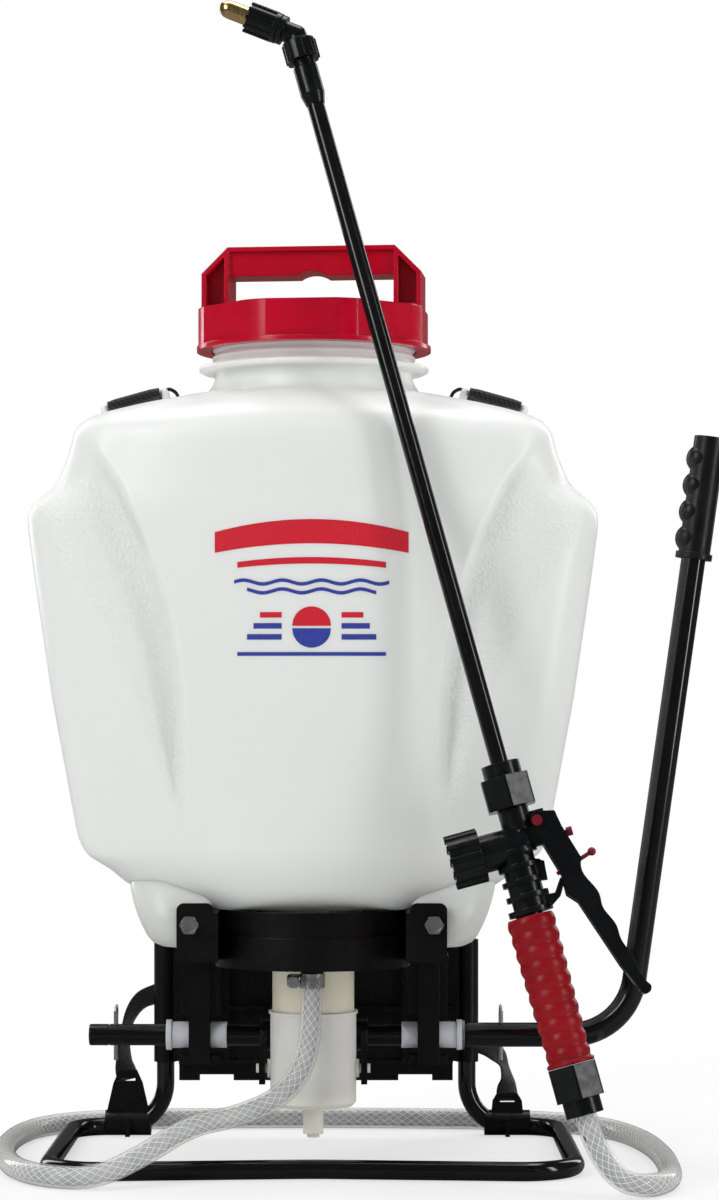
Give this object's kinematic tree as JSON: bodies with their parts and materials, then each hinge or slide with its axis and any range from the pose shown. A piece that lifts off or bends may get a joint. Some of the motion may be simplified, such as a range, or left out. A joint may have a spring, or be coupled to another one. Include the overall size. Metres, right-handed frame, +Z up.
{
  "type": "backpack sprayer",
  "caption": "Backpack sprayer: a moulded tank on a bent tube frame, a lever-worked pump below, a braided hose and a trigger valve with a wand.",
  "frame": {"origin": "on the floor below the centre of the tank's mouth", "axes": "+X to the right as the tank's outer face is seen, towards the pump lever; +Y towards the wearer's back; +Z up"},
  "size_m": [0.4767, 0.3246, 0.7373],
  "materials": {
    "tank_plastic": "milky white blow-moulded polyethylene, stippled on the two front valleys",
    "black_steel": "black powder coat, semi-gloss",
    "black_plastic": "moulded black plastic, satin",
    "bright_steel": "zinc plated, bright",
    "clamp_steel": "stainless, lightly brushed",
    "pump_plastic": "cream moulded plastic, soft gloss",
    "bush_plastic": "natural translucent plastic",
    "red_plastic": "glossy red moulded plastic",
    "lever_rubber": "black moulded rubber",
    "seal_rubber": "black seal rubber",
    "hose_vinyl": "clear flexible vinyl with a white braid laid in the wall",
    "web_fabric": "woven black webbing",
    "pad_fabric": "padded black nylon",
    "mesh_plastic": "fine woven filter mesh",
    "nozzle_brass": "turned, softly polished"
  },
  "bodies": {
    "root": {"back_plate": "black_plastic", "base_frame": "black_steel", "bracket_bolts": "bright_steel", "chamber_gasket": "seal_rubber", "chamber_nut": "black_plastic", "check_balls": "bright_steel", "clamp_screw": "clamp_steel", "collar_bracket": "black_plastic", "frame_clip_left": "black_plastic", "frame_clip_right": "black_plastic", "hose": "hose_vinyl", "hose_clamp": "clamp_steel", "hose_tail": "black_plastic", "inlet_nut": "black_plastic", "intake_seat": "seal_rubber", "outlet_elbow": "black_plastic", "piston_seal": "seal_rubber", "pressure_chamber": "pump_plastic", "pump_plunger": "pump_plastic", "riser_tube": "pump_plastic", "shaft_bushing_left": "bush_plastic", "shaft_bushing_right": "bush_plastic", "shoulder_pad_left": "pad_fabric", "shoulder_pad_right": "pad_fabric", "stem_seal": "seal_rubber", "strap_web_lower_left": "web_fabric", "strap_web_lower_right": "web_fabric", "strap_web_upper_left": "web_fabric", "strap_web_upper_right": "web_fabric", "tank": "tank_plastic", "trigger_pivot_pin": "red_plastic", "valve_body": "black_plastic", "valve_grip": "red_plastic", "valve_side_cap": "black_plastic", "valve_spring": "bright_steel", "wand_nut": "black_plastic", "wand_o_ring": "seal_rubber"},
    "strainer": {"strainer_basket": "black_plastic", "strainer_mesh": "mesh_plastic"},
    "cap_seal": {"cap_gasket": "seal_rubber"},
    "cap": {"cap": "red_plastic"},
    "lever": {"cross_shaft": "bright_steel", "shaft_washer": "bright_steel", "pump_fork": "black_plastic", "fork_pin": "bright_steel", "lever_tube": "black_steel", "lever_grip": "lever_rubber", "hitch_pins": "bright_steel"},
    "cup": {"pump_cup": "pump_plastic", "cup_drain_plug": "pump_plastic"},
    "trigger": {"trigger": "black_plastic", "trigger_stud": "red_plastic"},
    "trigger_lock": {"trigger_lock": "red_plastic"},
    "stem": {"valve_stem": "bright_steel"},
    "wand": {"wand_tube": "black_plastic", "wand_ferrule": "black_plastic", "elbow_nut": "black_plastic", "wand_elbow": "black_plastic", "nozzle_nut": "black_plastic"},
    "nozzle": {"spray_nozzle": "nozzle_brass"}
  },
  "joints": [
    {"name": "strainer_lift", "type": "slide", "parent": "root", "child": "strainer", "axis": [0, 0, 1], "range_m": [0, 0.03]},
    {"name": "cap_lift", "type": "slide", "parent": "strainer", "child": "cap_seal", "axis": [0, 0, 1], "range_m": [0, 0.028]},
    {"name": "cap_turn", "type": "hinge", "parent": "cap_seal", "child": "cap", "pos_m": [0, 0, 0.54], "axis": [0, 0, 1], "continuous": true},
    {"name": "lever_swing", "type": "hinge", "parent": "root", "child": "lever", "pos_m": [0, 0.012, 0.0786], "axis": [-1, 0, 0], "range_deg": [0, 39.2]},
    {"name": "pump_stroke", "type": "slide", "parent": "root", "child": "cup", "axis": [0, 0, 1], "range_m": [0, 0.0301]},
    {"name": "trigger_squeeze", "type": "hinge", "parent": "root", "child": "trigger", "pos_m": [0.13697, -0.13582, 0.22334], "axis": [0.0348, 0.9913, -0.1271], "range_deg": [0, 11.5], "stiffness_Nm_per_rad": 0.8, "springref_deg": -8.59},
    {"name": "trigger_lock_slide", "type": "slide", "parent": "trigger", "child": "trigger_lock", "axis": [0.8402, 0.0398, 0.5408], "range_m": [0, 0.006]},
    {"name": "valve_stem_slide", "type": "slide", "parent": "root", "child": "stem", "axis": [-0.9645, 0, -0.2641], "range_m": [0, 0.0022]},
    {"name": "wand_swivel", "type": "hinge", "parent": "root", "child": "wand", "pos_m": [0.1197, -0.133, 0.2406], "axis": [-0.2618, 0.1318, 0.9561], "range_deg": [-90, 90]},
    {"name": "nozzle_turn", "type": "hinge", "parent": "wand", "child": "nozzle", "pos_m": [-0.0101, -0.0677, 0.7145], "axis": [-0.9239, 0.0804, 0.3741], "continuous": true}
  ],
  "couplings": [
    {"joint": "pump_stroke", "follows": "lever_swing", "m_per_rad": 0.0438},
    {"joint": "valve_stem_slide", "follows": "trigger_squeeze", "m_per_rad": 0.0108}
  ]
}
